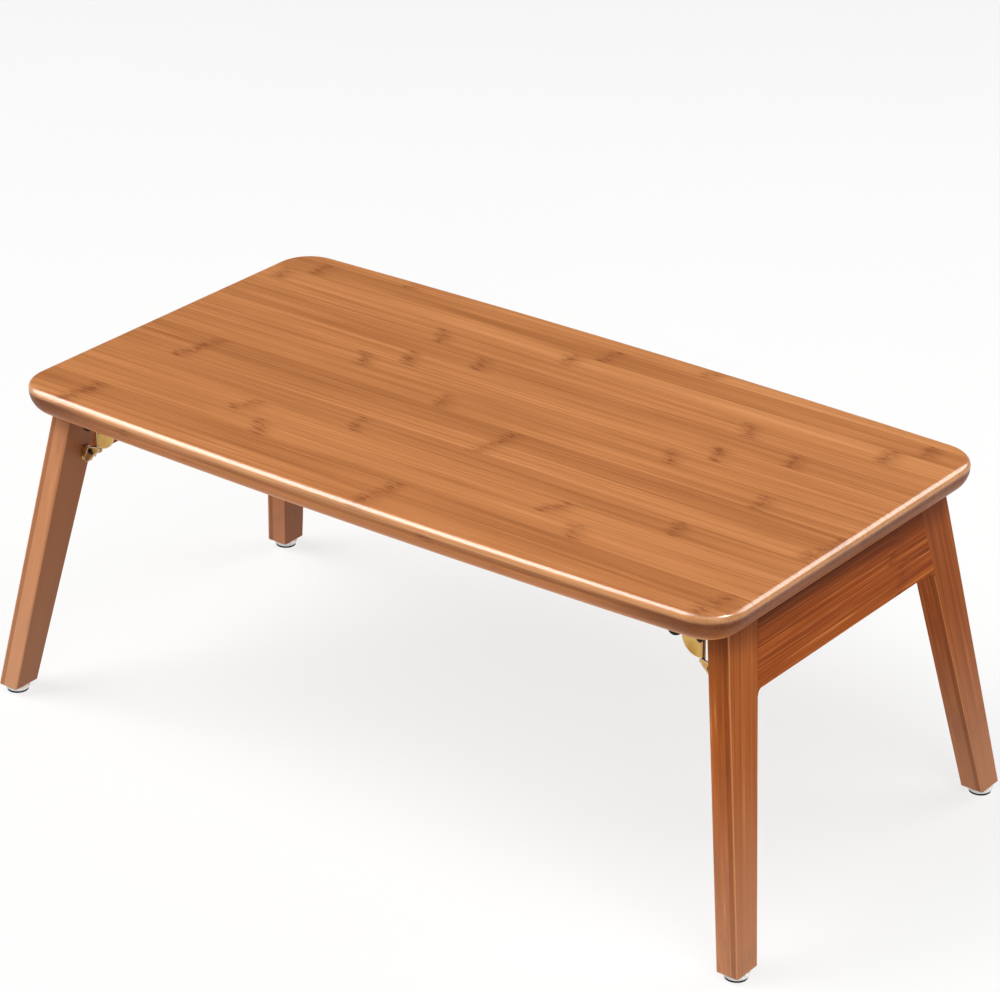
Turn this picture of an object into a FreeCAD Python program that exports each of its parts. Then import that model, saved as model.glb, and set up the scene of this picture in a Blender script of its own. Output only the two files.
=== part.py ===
import FreeCAD, Part
import math
import os

import Sketcher
from FreeCAD import Placement, Rotation, Vector

# Folding coffee table: a bamboo top on two splayed leg frames that fold flat under it.
# Millimetres. +X runs along the top, +Y across it, +Z up. The origin is on the floor, below
# the middle of the top. The front right quarter is modelled and mirrored where pieces repeat.

SIZES = (
    # Tabletop
    ("table_height", 294.0, "floor to the top surface"),
    ("top_length", 700.0, "between the two short ends"),
    ("top_depth", 371.0, "between the long sides, measured at the corners"),
    ("top_bow", 7.2, "how far each long side swells beyond its corners"),
    ("top_thickness", 27.0, "board thickness"),
    ("top_corner", 33.0, "corner radius seen from above"),
    ("top_upper_round", 5.5, "roundover of the upper edge"),
    ("top_under_round", 21.0, "large roundover below the edge"),
    # Leg frames
    ("frame_gap", 0.3, "legs to the underside of the top"),
    ("splay_angle", 9.58, "outward lean of a frame, degrees"),
    ("side_angle", 8.2, "sideways lean of a leg's outer side, degrees"),
    ("inner_angle", 10.95, "sideways lean of a leg's inner side, degrees"),
    ("leg_end_inset", 14.2, "short end of the top to a leg's outer face, at the underside"),
    ("leg_side_inset", 32.8, "long side of the top to a leg's outer side, at the underside"),
    ("leg_top_width", 38.6, "leg width at the underside"),
    ("leg_thickness", 20.3, "leg thickness, measured level"),
    ("leg_arris", 2.0, "rounding of a leg's long edges on its outer side"),
    ("leg_inner_arris", 0.5, "smaller rounding on its inner side, where the rail meets it"),
    ("leg_foot_chamfer", 1.2, "chamfer round the foot of a leg"),
    ("rail_drop", 53.6, "underside of the top to the lower edge of a rail"),
    ("rail_gap", 1.8, "shadow gap between a rail and the top"),
    ("rail_thickness", 20.3, "rail thickness, measured level, flush with the legs"),
    ("rail_fillet", 5.6, "hollow where a rail runs into a leg"),
    ("dowel_radius", 3.0, "wooden dowels between rail and leg"),
    ("dowel_length", 28.0, "dowel length"),
    ("dowel_pitch", 16.0, "between the two dowels of one joint"),
    ("dowel_fit", 0.1, "glue room round a dowel"),
    # Feet
    ("glide_radius", 10.2, "plastic glide under each leg"),
    ("glide_height", 6.0, "floor to the leg"),
    ("glide_rim", 1.4, "chamfer of the glide's rim"),
    ("glide_neck_radius", 8.6, "glide where it meets the leg"),
    ("pad_radius", 9.0, "rubber sole let into the glide"),
    ("pad_height", 1.4, "floor to the underside of the glide"),
    ("glide_screw_radius", 1.6, "screw that holds a glide"),
    ("glide_screw_head", 3.6, "head radius of that screw"),
    ("glide_screw_length", 20.0, "length of that screw"),
    # Folding brackets
    ("pivot_inset", 35.3, "a leg's outer face, at the underside, to the hinge line"),
    ("pivot_drop", 20.2, "underside of the top to the hinge line"),
    ("plate", 1.5, "thickness of the pressed plates"),
    ("plate_gap", 0.3, "side clearance between moving plates"),
    ("cheek_inset", 14.7, "a leg's outer side, at the underside, to the face of its bracket"),
    ("top_flange_length", 50.0, "top plate along the table"),
    ("top_flange_width", 20.0, "top plate across the table"),
    ("top_flange_end", 9.0, "hinge line to the outer end of the top plate"),
    ("flange_corner", 4.0, "rounded corners of the plates"),
    ("rivet_radius", 1.7, "rivet shank"),
    ("rivet_head", 2.7, "rivet head radius"),
    ("rivet_head_height", 1.1, "rivet head height"),
    ("rivet_fit", 0.05, "running clearance of the rivets"),
    ("arm_width", 6.6, "arm of the leg bracket at the hinge"),
    ("ear_out", 6.5, "hinge line to the lock rivet, square to the leg"),
    ("ear_drop", 23.2, "hinge line to the lock rivet, along the leg"),
    ("ear_margin", 0.8, "ear of the leg bracket inside the pawl's outline"),
    ("arm_lean", 2.8, "how far the arm runs inboard on its way down to the ear"),
    ("leg_flange_top", 25.0, "hinge line to the leg flange's upper end, along the leg"),
    ("leg_flange_height", 12.6, "leg flange along the leg"),
    ("leg_flange_width", 10.0, "leg flange across the table"),
    ("web_height", 9.0, "where the ear joins the flange"),
    # Lock
    ("nose_radius", 1.8, "rounded nose of the lock pawl"),
    ("nose_out", 1.05, "hinge line to the resting nose, inboard and square to the leg"),
    ("nose_drop", 17.6, "hinge line to the resting nose, along the leg"),
    ("nose_gap", 0.4, "nose to the cam"),
    ("pawl_hub", 4.3, "pawl round its rivet"),
    ("tip_out", 3.6, "lock rivet to the middle of the pawl's tip, square to the leg"),
    ("tip_drop", 9.4, "lock rivet to the middle of the pawl's tip, along the leg"),
    ("tip_radius", 2.4, "rounded tip of the pawl"),
    ("fold_angle", 99.0, "travel of a leg frame, degrees"),
    ("pawl_angle", 6.0, "travel of a pawl, degrees"),
    ("cam_lead", 4.0, "cam carried on past both ends of the nose's travel, degrees"),
    ("spring_wire", 0.8, "wire of the lock spring"),
    ("spring_radius", 2.6, "mean radius of the lock spring"),
    ("spring_pitch", 1.25, "coil to coil, wire and air"),
    ("spring_arm", 5.0, "straight ends of the spring"),
    # Screws and buffers
    ("screw_radius", 1.5, "countersunk wood screws of the brackets"),
    ("screw_head", 2.9, "head radius"),
    ("screw_length", 13.0, "length with the head"),
    ("screw_fit", 0.1, "clearance round screws and below their heads"),
    ("screw_inset", 7.0, "plate end to the nearest screw"),
    ("leg_screw_inset", 3.3, "leg flange end to the nearest screw"),
    ("screw_edge", 9.0, "top plate's edge to the row of screws"),
    ("leg_screw_edge", 4.9, "leg flange's edge to the row of screws"),
    ("buffer_inset", 8.0, "hinge line to a rubber buffer, further in"),
    ("buffer_edge", 27.5, "long side of the top to the middle of a rubber buffer"),
    ("buffer_radius", 6.0, "rubber buffer"),
    ("buffer_height", 10.6, "height of the rubber buffer"),
    # Working values
    ("overrun", 30.0, "how far a cutting shape runs past what it cuts"),
)
SPRING_TURNS = 3
TURN_STEPS = 8
CAM_ARCS = 4

doc = FreeCAD.newDocument("folding_coffee_table")
sheet = doc.addObject("Spreadsheet::Sheet", "Sizes")


class Size:
    """A number that remembers how it follows from the sheet, so it can be bound to it."""

    def __init__(self, number, text):
        self.number = number
        self.text = text

    def __float__(self):
        return self.number

    def __neg__(self):
        return Size(-self.number, f"(-{self.text})")

    def __add__(self, other):
        return joined(self, "+", other)

    def __radd__(self, other):
        return joined(other, "+", self)

    def __sub__(self, other):
        return joined(self, "-", other)

    def __rsub__(self, other):
        return joined(other, "-", self)

    def __mul__(self, other):
        return joined(self, "*", other)

    def __rmul__(self, other):
        return joined(other, "*", self)

    def __truediv__(self, other):
        return joined(self, "/", other)


def as_size(value):
    return value if isinstance(value, Size) else Size(float(value), str(value))


def joined(first, sign, second):
    first, second = as_size(first), as_size(second)
    number = {
        "+": lambda a, b: a + b,
        "-": lambda a, b: a - b,
        "*": lambda a, b: a * b,
        "/": lambda a, b: a / b,
    }[sign](first.number, second.number)
    return Size(number, f"({first.text} {sign} {second.text})")


def sine(angle):
    return Size(math.sin(math.radians(angle.number)), f"sin({angle.text})")


def cosine(angle):
    return Size(math.cos(math.radians(angle.number)), f"cos({angle.text})")


def tangent(angle):
    return Size(math.tan(math.radians(angle.number)), f"tan({angle.text})")


class Sheet:
    """Gives each cell of the sheet as a Size, by its alias."""

    def __getattr__(self, alias):
        return Size(float(sheet.get(alias)), f"Sizes.{alias}")


for row, (alias, number, note) in enumerate(SIZES, start=1):
    sheet.set(f"A{row}", alias)
    sheet.set(f"B{row}", str(number))
    sheet.set(f"C{row}", note)
    sheet.setAlias(f"B{row}", alias)
doc.recompute()
size = Sheet()

# Places that several pieces share
underside = size.table_height - size.top_thickness
leg_top = underside - size.frame_gap
leg_lean = tangent(size.splay_angle)
side_lean = tangent(size.side_angle)
inner_lean = tangent(size.inner_angle)
leg_height = leg_top - size.glide_height
leg_reach = size.top_length / 2 - size.leg_end_inset
leg_half_span = size.top_depth / 2 - size.leg_side_inset
pivot_reach = leg_reach - size.pivot_inset
pivot_z = underside - size.pivot_drop
cheek_half_span = leg_half_span - size.cheek_inset
hinge_point = Vector(float(pivot_reach), 0, float(pivot_z))
frame_turn = Rotation(Vector(0, 1, 0), -float(size.splay_angle))


def outer_x(drop):
    """Outer face of a leg frame, that far below the underside."""
    return leg_reach + drop * leg_lean


def outer_y(drop):
    """Outer side of a leg, that far below the underside."""
    return leg_half_span + drop * side_lean


def inner_y(drop):
    """Inner side of a leg, that far below the underside."""
    return leg_half_span - size.leg_top_width + drop * inner_lean


def face_distance():
    """Hinge line to a leg's inner face, square to the leg."""
    level = outer_x(size.pivot_drop) - size.leg_thickness - pivot_reach
    return level * cosine(size.splay_angle)


# Building helpers


def bind(item, path, value):
    item.setExpression(path, as_size(value).text)


def make_body(label):
    body = doc.addObject("PartDesign::Body", label)
    body.Label = label
    return body


def origin_plane(body, role):
    return next(item for item in body.Origin.OriginFeatures if item.Role == role)


def make_sketch(body, name, role, offset=None):
    """A sketch on one of the body's own origin planes, or lifted off it by an offset."""
    sketch = body.newObject("Sketcher::SketchObject", name)
    sketch.AttachmentSupport = [(origin_plane(body, role), "")]
    sketch.MapMode = "FlatFace"
    if offset is not None:
        bind(sketch, "AttachmentOffset.Base.z", offset)
    return sketch


def pin_point(sketch, geometry, position, point):
    """Ties a point to the sheet by its two distances from the origin."""
    for kind, axis, value in (("DistanceX", -2, point[0]), ("DistanceY", -1, point[1])):
        value = as_size(value)
        if value.text == "0":
            sketch.addConstraint(Sketcher.Constraint("PointOnObject", geometry, position, axis))
            continue
        rule = Sketcher.Constraint(kind, -1, 1, geometry, position, value.number)
        index = sketch.addConstraint(rule)
        bind(sketch, f"Constraints[{index}]", value)


def draw_outline(sketch, corners, arcs=None):
    """A closed outline. arcs gives the radius and centre of each side that is an arc."""
    arcs = arcs or {}
    ends = []
    for index, corner in enumerate(corners):
        start = Vector(float(corner[0]), float(corner[1]), 0)
        following = corners[(index + 1) % len(corners)]
        end = Vector(float(following[0]), float(following[1]), 0)
        if index not in arcs:
            sketch.addGeometry(Part.LineSegment(start, end))
            ends.append((1, 2))
            continue
        radius, centre = arcs[index]
        middle = Vector(float(centre[0]), float(centre[1]), 0)
        first = math.atan2(start.y - middle.y, start.x - middle.x)
        last = math.atan2(end.y - middle.y, end.x - middle.x)
        forward = (last - first) % (2 * math.pi) < math.pi
        circle = Part.Circle(middle, Vector(0, 0, 1), float(radius))
        if forward:
            sketch.addGeometry(Part.ArcOfCircle(circle, first, last))
        else:
            sketch.addGeometry(Part.ArcOfCircle(circle, last, first))
        ends.append((1, 2) if forward else (2, 1))
        rule = sketch.addConstraint(Sketcher.Constraint("Radius", index, float(radius)))
        bind(sketch, f"Constraints[{rule}]", radius)
    for index, corner in enumerate(corners):
        following = (index + 1) % len(corners)
        joint = ("Coincident", index, ends[index][1], following, ends[following][0])
        sketch.addConstraint(Sketcher.Constraint(*joint))
        pin_point(sketch, index, ends[index][0], corner)


def draw_circle(sketch, radius, centre=(0, 0)):
    middle = Vector(float(centre[0]), float(centre[1]), 0)
    index = sketch.addGeometry(Part.Circle(middle, Vector(0, 0, 1), float(radius)))
    rule = sketch.addConstraint(Sketcher.Constraint("Radius", index, float(radius)))
    bind(sketch, f"Constraints[{rule}]", radius)
    pin_point(sketch, index, 3, centre)


def add_feature(body, kind, name, **links):
    feature = body.newObject(f"PartDesign::{kind}", name)
    for key, value in links.items():
        setattr(feature, key, value)
    doc.recompute()
    return feature


def edge_names(feature, wanted):
    """Names of the edges of a feature that pass a test."""
    return [f"Edge{n}" for n, edge in enumerate(feature.Shape.Edges, start=1) if wanted(edge)]


def is_level(edge, height):
    return all(abs(point.Z - float(height)) < Part.Precision.confusion() for point in edge.Vertexes)


def round_edges(body, kind, name, feature, wanted, amount):
    """A fillet or a chamfer over every edge that passes the test."""
    dress = add_feature(body, kind, name, Base=(feature, edge_names(feature, wanted)))
    bind(dress, "Radius" if kind == "Fillet" else "Size", amount)
    doc.recompute()
    return dress


def mirrored(source, label, across):
    """The same piece on the other side of the table: across is the axis that is turned over."""
    twin = doc.addObject("Part::Mirroring", label)
    twin.Label = label
    twin.Source = source
    twin.Normal = Vector(*across)
    return twin


def grouped(label, items):
    """Like pieces kept together under one name."""
    group = doc.addObject("Part::Compound", label)
    group.Label = label
    group.Links = items
    return group


def formed(label, shape, placement=None):
    piece = doc.addObject("Part::Feature", label)
    piece.Label = label
    piece.Shape = shape
    if placement is not None:
        piece.Placement = placement
    return piece


ACROSS_LENGTH = (1, 0, 0)
ACROSS_DEPTH = (0, 1, 0)


def four_corners(make, label):
    """Makes the front right piece and mirrors it to the other three corners."""
    front_right = make(f"{label}_front_right")
    back_right = mirrored(front_right, f"{label}_back_right", ACROSS_DEPTH)
    front_left = mirrored(front_right, f"{label}_front_left", ACROSS_LENGTH)
    back_left = mirrored(back_right, f"{label}_back_left", ACROSS_LENGTH)
    return [front_right, back_right, front_left, back_left]


def two_groups(make, label):
    """Like pieces of the right frame in one group, and their mirror image on the left."""
    front = make(f"{label}_front")
    right = grouped(f"{label}_right", [front, mirrored(front, f"{label}_back", ACROSS_DEPTH)])
    return [right, mirrored(right, f"{label}_left", ACROSS_LENGTH)]


# Tabletop


def make_tabletop():
    """A board with bowed long sides, round corners and a deep roundover underneath."""
    body = make_body("tabletop")
    sketch = make_sketch(body, "top_outline", "XY_Plane", underside)
    half_length, half_depth = size.top_length / 2, size.top_depth / 2
    reach = half_length * half_length + size.top_bow * size.top_bow
    radius = reach / (2 * size.top_bow)
    centre = radius - half_depth - size.top_bow
    corners = [
        (-half_length, -half_depth),
        (half_length, -half_depth),
        (half_length, half_depth),
        (-half_length, half_depth),
    ]
    draw_outline(sketch, corners, {0: (radius, (0, centre)), 2: (radius, (0, -centre))})
    board = add_feature(body, "Pad", "board", Profile=sketch)
    bind(board, "Length", size.top_thickness)
    doc.recompute()

    def upright(edge):
        return edge.BoundBox.ZLength > float(size.top_thickness) / 2

    rounded = round_edges(body, "Fillet", "corners", board, upright, size.top_corner)

    def lower(edge):
        return is_level(edge, underside)

    under = round_edges(body, "Fillet", "under_round", rounded, lower, size.top_under_round)

    def upper(edge):
        return is_level(edge, size.table_height)

    round_edges(body, "Fillet", "upper_round", under, upper, size.top_upper_round)
    return body


# Leg frames


def dowel_heights():
    """The two dowels of a joint, as drops below the underside."""
    middle = (size.rail_gap + size.rail_drop) / 2
    return (middle - size.dowel_pitch / 2, middle + size.dowel_pitch / 2)


def dowel_x(drop):
    return outer_x(drop) - size.rail_thickness / 2


def glide_centre():
    """The middle of a leg's foot."""
    across = (outer_y(underside - size.glide_height) + inner_y(underside - size.glide_height)) / 2
    return outer_x(underside - size.glide_height) - size.leg_thickness / 2, -across


def side_cut(body, name, sides):
    """Cuts away all that lies inside a front outline, right through the board."""
    sketch = make_sketch(body, name, "YZ_Plane")
    draw_outline(sketch, sides)
    cut = add_feature(body, "Pocket", f"{name}_cut", Profile=sketch, Midplane=True)
    bind(cut, "Length", 2 * outer_x(underside + size.overrun))
    doc.recompute()
    return cut


def make_leg(label):
    """A leaning board, cut to a taper from both sides, with eased edges and blind holes."""
    body = make_body(f"{label}_blank")
    foot_drop = underside - size.glide_height
    section = make_sketch(body, f"{label}_section", "XZ_Plane")
    far_foot, far_head = outer_x(foot_drop), outer_x(size.frame_gap)
    corners = [
        (far_foot - size.leg_thickness, size.glide_height),
        (far_foot, size.glide_height),
        (far_head, leg_top),
        (far_head - size.leg_thickness, leg_top),
    ]
    draw_outline(section, corners)
    board = add_feature(body, "Pad", f"{label}_board", Profile=section, Midplane=True)
    bind(board, "Length", 2 * outer_y(foot_drop))
    low, high = underside + size.overrun, -size.overrun
    beyond = outer_y(low) + size.overrun
    outside = [
        (-beyond, underside - low),
        (-outer_y(low), underside - low),
        (-outer_y(high), underside - high),
        (-beyond, underside - high),
    ]
    side_cut(body, f"{label}_outer_side", outside)
    inside = [
        (-inner_y(low), underside - low),
        (beyond, underside - low),
        (beyond, underside - high),
        (-inner_y(high), underside - high),
    ]
    blank = side_cut(body, f"{label}_inner_side", inside)

    half_way = (outer_y(foot_drop / 2) + inner_y(foot_drop / 2)) / 2

    def lengthwise(edge):
        return edge.BoundBox.ZLength > float(leg_height) / 2

    def outer_arris(edge):
        return lengthwise(edge) and edge.BoundBox.Center.y < -float(half_way)

    def inner_arris(edge):
        return lengthwise(edge) and edge.BoundBox.Center.y > -float(half_way)

    def foot(edge):
        return is_level(edge, size.glide_height)

    ended = round_edges(body, "Chamfer", f"{label}_end", blank, foot, size.leg_foot_chamfer)
    soft = round_edges(body, "Fillet", f"{label}_arris", ended, outer_arris, size.leg_arris)
    round_edges(body, "Fillet", f"{label}_inner_arris", soft, inner_arris, size.leg_inner_arris)
    leg = doc.addObject("Part::Cut", label)
    leg.Label = label
    leg.Base = body
    leg.Tool = grouped(f"{label}_holes", dowel_rods(f"{label}_hole", -1, size.dowel_fit))
    return leg


def make_rail(label):
    """The board between two legs: its face outline crossed with its leaning section."""
    top_drop, low_drop = size.rail_gap, size.rail_drop
    half_angle = (90 + size.inner_angle) / 2
    run = size.rail_fillet / tangent(half_angle)
    low_y, low_z = inner_y(low_drop), underside - low_drop
    tip_y = low_y + run * sine(size.inner_angle)
    tip_z = low_z - run * cosine(size.inner_angle)
    face = doc.addObject("Sketcher::SketchObject", f"{label}_face")
    face.Placement = Placement(Vector(), Rotation(Vector(1, 1, 1), 120))
    corners = [
        (-tip_y, tip_z),
        (-(low_y - run), low_z),
        (low_y - run, low_z),
        (tip_y, tip_z),
        (inner_y(top_drop), underside - top_drop),
        (-inner_y(top_drop), underside - top_drop),
    ]
    hollow_z = low_z - size.rail_fillet
    arcs = {
        0: (size.rail_fillet, (-(low_y - run), hollow_z)),
        2: (size.rail_fillet, (low_y - run, hollow_z)),
    }
    draw_outline(face, corners, arcs)
    section = doc.addObject("Sketcher::SketchObject", f"{label}_section")
    section.Placement = Placement(Vector(), Rotation(Vector(1, 0, 0), 90))
    deep = low_drop + size.overrun
    draw_outline(
        section,
        [
            (outer_x(deep) - size.rail_thickness, underside - deep),
            (outer_x(deep), underside - deep),
            (outer_x(0), underside),
            (outer_x(0) - size.rail_thickness, underside),
        ],
    )
    boards = []
    for sketch, direction, length in (
        (face, Vector(1, 0, 0), 2 * outer_x(deep)),
        (section, Vector(0, 1, 0), 2 * outer_y(deep)),
    ):
        board = doc.addObject("Part::Extrusion", f"{sketch.Name}_board")
        board.Base = sketch
        board.DirMode = "Custom"
        board.Dir = direction
        board.Solid = True
        board.Symmetric = True
        bind(board, "LengthFwd", length)
        boards.append(board)
    blank = doc.addObject("Part::MultiCommon", f"{label}_blank")
    blank.Shapes = boards
    holes = []
    for side in (-1, 1):
        holes += dowel_rods(f"{label}_hole_{len(holes)}", side, size.dowel_fit)
    rail = doc.addObject("Part::Cut", label)
    rail.Label = label
    rail.Base = blank
    rail.Tool = grouped(f"{label}_holes", holes)
    return rail


def dowel_rods(name, side, ease):
    """The two dowels of the joint on one side, or their holes when ease is more than zero."""
    rods = []
    middle = inner_y((size.rail_gap + size.rail_drop) / 2)
    for drop in dowel_heights():
        rod = doc.addObject("Part::Cylinder", name)
        rod.Placement = Placement(Vector(), Rotation(Vector(1, 0, 0), -90))
        bind(rod, "Radius", size.dowel_radius + ease)
        bind(rod, "Height", size.dowel_length + 2 * ease)
        bind(rod, "Placement.Base.x", dowel_x(drop))
        bind(rod, "Placement.Base.y", side * middle - size.dowel_length / 2 - ease)
        bind(rod, "Placement.Base.z", underside - drop)
        rods.append(rod)
    return rods


def make_dowels(label):
    rods = []
    for side in (-1, 1):
        rods += dowel_rods(f"{label}_rod_{len(rods)}", side, 0)
    return grouped(label, rods)


# Feet


def set_on_foot(body):
    across, along = glide_centre()
    bind(body, "Placement.Base.x", across)
    bind(body, "Placement.Base.y", along)


def turned(body, name, profile):
    """Turns a profile of radius and height about the vertical axis."""
    sketch = make_sketch(body, name, "XZ_Plane")
    draw_outline(sketch, profile)
    solid = add_feature(body, "Revolution", f"{name}_turned", Profile=sketch)
    solid.ReferenceAxis = (sketch, ["V_Axis"])
    solid.Angle = 360
    doc.recompute()
    return solid


def make_glide(label):
    """A plastic disc with a countersunk screw hole from below."""
    body = make_body(label)
    bore = size.glide_screw_radius + size.screw_fit
    head = size.glide_screw_head + size.screw_fit
    sink = size.pad_height + size.glide_screw_head - size.glide_screw_radius
    profile = [
        (head, size.pad_height),
        (size.glide_radius - size.glide_rim, size.pad_height),
        (size.glide_radius, size.pad_height + size.glide_rim),
        (size.glide_radius, size.glide_height - size.glide_rim),
        (size.glide_neck_radius, size.glide_height),
        (bore, size.glide_height),
        (bore, sink),
    ]
    turned(body, label, profile)
    set_on_foot(body)
    return body


def make_glide_pad(label):
    """The thin rubber sole that stands on the floor."""
    body = make_body(label)
    sketch = make_sketch(body, f"{label}_disc", "XY_Plane")
    draw_circle(sketch, size.pad_radius)
    disc = add_feature(body, "Pad", f"{label}_sole", Profile=sketch)
    bind(disc, "Length", size.pad_height)
    set_on_foot(body)
    doc.recompute()
    return body


def make_glide_screw(label):
    """The screw that holds the glide, from the sole up into the leg."""
    body = make_body(label)
    base = size.pad_height + size.screw_fit
    neck = base + size.glide_screw_head - size.glide_screw_radius
    profile = [
        (0, base),
        (size.glide_screw_head, base),
        (size.glide_screw_radius, neck),
        (size.glide_screw_radius, base + size.glide_screw_length),
        (0, base + size.glide_screw_length),
    ]
    turned(body, label, profile)
    set_on_foot(body)
    return body


# Folding brackets. Their outlines lie in upright planes, so they are written as in and out from
# the hinge line, u, and up from it, v. Pieces of a leg frame lean with the leg.


def flat_point(u, v):
    return Vector(float(u), 0, float(v))


def polar(centre, radius, degrees):
    """The point at that radius and angle round a centre, in an upright plane."""
    angle = math.radians(degrees)
    return centre + Vector(radius * math.cos(angle), 0, radius * math.sin(angle))


def plate_from(wire, outer_face):
    """A flat pressed plate of the given outline, whose outer face has that half span."""
    face = Part.Face(wire)
    plate = face.extrude(Vector(0, float(size.plate), 0))
    plate.translate(Vector(0, -float(outer_face), 0))
    return plate


def across_hole(radius, u, v):
    """A cylinder across the plates, to cut a hole."""
    reach = float(size.overrun)
    middle = -float(cheek_half_span)
    base = Vector(float(u), middle - reach, float(v))
    return Part.makeCylinder(float(radius), 2 * reach, base, Vector(0, 1, 0))


def leaning(shape):
    """Leans a shape, drawn square to the hinge line, as the leg leans, and sets it there."""
    shape = shape.copy()
    shape.Placement = Placement(hinge_point, frame_turn).multiply(shape.Placement)
    return shape


def upright_set(shape):
    shape = shape.copy()
    shape.translate(hinge_point)
    return shape


def nose_place(fold):
    """Where the pawl's nose is, seen from the top, when the frame has folded by an angle."""
    share = fold / float(size.fold_angle)
    lift = Rotation(Vector(0, 1, 0), -share * float(size.pawl_angle))
    pawl_pin = flat_point(size.ear_out, -size.ear_drop)
    nose = flat_point(-size.nose_out, -size.nose_drop)
    raised = pawl_pin + lift.multVec(nose - pawl_pin)
    return Rotation(Vector(0, 1, 0), fold - float(size.splay_angle)).multVec(raised)


def cam_point(fold):
    """The edge of the cam under the nose, one nose radius and the gap nearer to the pin."""
    nose = nose_place(fold)
    return nose * (1 - float(size.nose_radius + size.nose_gap) / nose.Length)


def top_cheek_outline():
    """Down the inboard edge, round the cam to below the pin, and straight up from there."""
    lead, travel = float(size.cam_lead), float(size.fold_angle)
    steps = 2 * CAM_ARCS
    span = travel + 2 * lead
    points = [cam_point(travel + lead - span * step / steps) for step in range(steps + 1)]
    seam = float(size.pivot_drop)
    inboard, outboard = Vector(points[0].x, 0, seam), Vector(points[-1].x, 0, seam)
    edges = [Part.LineSegment(inboard, points[0])]
    for start in range(0, steps, 2):
        edges.append(Part.Arc(points[start], points[start + 1], points[start + 2]))
    edges.append(Part.LineSegment(points[-1], outboard))
    edges.append(Part.LineSegment(outboard, inboard))
    return Part.Wire([edge.toShape() for edge in edges])


def rounded_plate(length, width, corner):
    """A flat plate with round corners, lying on its lower face, from the origin along X and Y."""
    blank = Part.makeBox(float(length), float(width), float(size.plate))
    uprights = [edge for edge in blank.Edges if edge.BoundBox.ZLength > float(size.plate) / 2]
    return blank.makeFillet(float(corner), uprights)


def countersunk_hole():
    """A hole for a countersunk screw whose head lies level with Z zero, opening upwards."""
    ease = float(size.screw_fit)
    bore, head = float(size.screw_radius) + ease, float(size.screw_head) + ease
    depth = head - bore
    length = float(size.screw_length)
    shaft = Part.makeCylinder(bore, length, Vector(0, 0, -length))
    cone = Part.makeCone(bore, head, depth, Vector(0, 0, -depth))
    return shaft.fuse(cone)


def countersunk_screw():
    """A wood screw with a tapered point and a flat head that has a cross recess."""
    ease = float(size.screw_fit)
    shank, head, length = float(size.screw_radius), float(size.screw_head), float(size.screw_length)
    depth = head - shank
    profile = [
        Vector(0, 0, -ease),
        Vector(head, 0, -ease),
        Vector(shank, 0, -ease - depth),
        Vector(shank, 0, -length + head),
        Vector(0, 0, -length),
        Vector(0, 0, -ease),
    ]
    screw = Part.Face(Part.makePolygon(profile)).revolve(Vector(), Vector(0, 0, 1), 360)
    slot_corner = Vector(-head / 2, -shank / 4, -ease - depth / 2)
    for turn in (0, 90):
        slot = Part.makeBox(head, shank / 2, depth / 2, slot_corner)
        slot.rotate(Vector(), Vector(0, 0, 1), turn)
        screw = screw.cut(slot)
    return screw


def cut_from(shape, cutter, places, turn):
    for place in places:
        tool = cutter.copy()
        tool.Placement = Placement(place, turn)
        shape = shape.cut(tool)
    return shape


def top_plate_screw_places():
    """Three screws through each top plate, seen from the hinge line."""
    width = float(size.top_flange_width)
    inner_edge = -float(cheek_half_span) + width
    row = inner_edge - float(size.screw_edge)
    end = float(size.top_flange_end - size.screw_inset)
    span = float(size.top_flange_length - 2 * size.screw_inset)
    level = float(size.pivot_drop - size.plate)
    return [Vector(end - span * step / 2, row, level) for step in range(3)]


def top_plate_screw_turn():
    return Rotation(Vector(1, 0, 0), 180)


def leg_plate_screw_places():
    """Two screws through each leg flange, clear of the dowels, in the leaning frame."""
    inner_edge = -float(cheek_half_span - size.plate - size.plate_gap - size.leg_flange_width)
    row = inner_edge - float(size.leg_screw_edge)
    head = float(face_distance() - size.plate)
    first = float(size.leg_flange_top + size.leg_screw_inset)
    span = float(size.leg_flange_height - 2 * size.leg_screw_inset)
    return [Vector(head, row, -first - span * step) for step in range(2)]


def leg_plate_screw_turn():
    return Rotation(Vector(0, 1, 0), -90)


def make_top_plate(label):
    """The plate on the underside, bent down into a cheek that carries the cam and the pin."""
    cheek = plate_from(top_cheek_outline(), cheek_half_span)
    flange = rounded_plate(size.top_flange_length, size.top_flange_width, size.flange_corner)
    start = float(size.top_flange_end - size.top_flange_length)
    flange.translate(Vector(start, -float(cheek_half_span), float(size.pivot_drop - size.plate)))
    plate = flange.fuse(cheek).removeSplitter()
    plate = plate.cut(across_hole(size.rivet_radius + size.rivet_fit, 0, 0))
    plate = cut_from(plate, countersunk_hole(), top_plate_screw_places(), top_plate_screw_turn())
    return formed(label, upright_set(plate))


def around(circles):
    """The outline that a band pulled round some circles takes, given in turning order."""
    edges = []
    corners = []
    for step, (centre, radius) in enumerate(circles):
        after, after_radius = circles[(step + 1) % len(circles)]
        along = after - centre
        turn = math.degrees(math.atan2(along.z, along.x) - math.acos((radius - after_radius) / along.Length))
        corners.append((polar(centre, radius, turn), polar(after, after_radius, turn), turn))
    for step, (centre, radius) in enumerate(circles):
        leave, reach, turn = corners[step]
        came = corners[step - 1]
        middle = came[2] + ((turn - came[2]) % 360) / 2
        edges.append(Part.Arc(came[1], polar(centre, radius, middle), leave))
        edges.append(Part.LineSegment(leave, reach))
    return Part.Wire([edge.toShape() for edge in edges])


def lock_pin():
    return flat_point(size.ear_out, -size.ear_drop)


def pawl_tip():
    return lock_pin() + flat_point(size.tip_out, -size.tip_drop)


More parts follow.
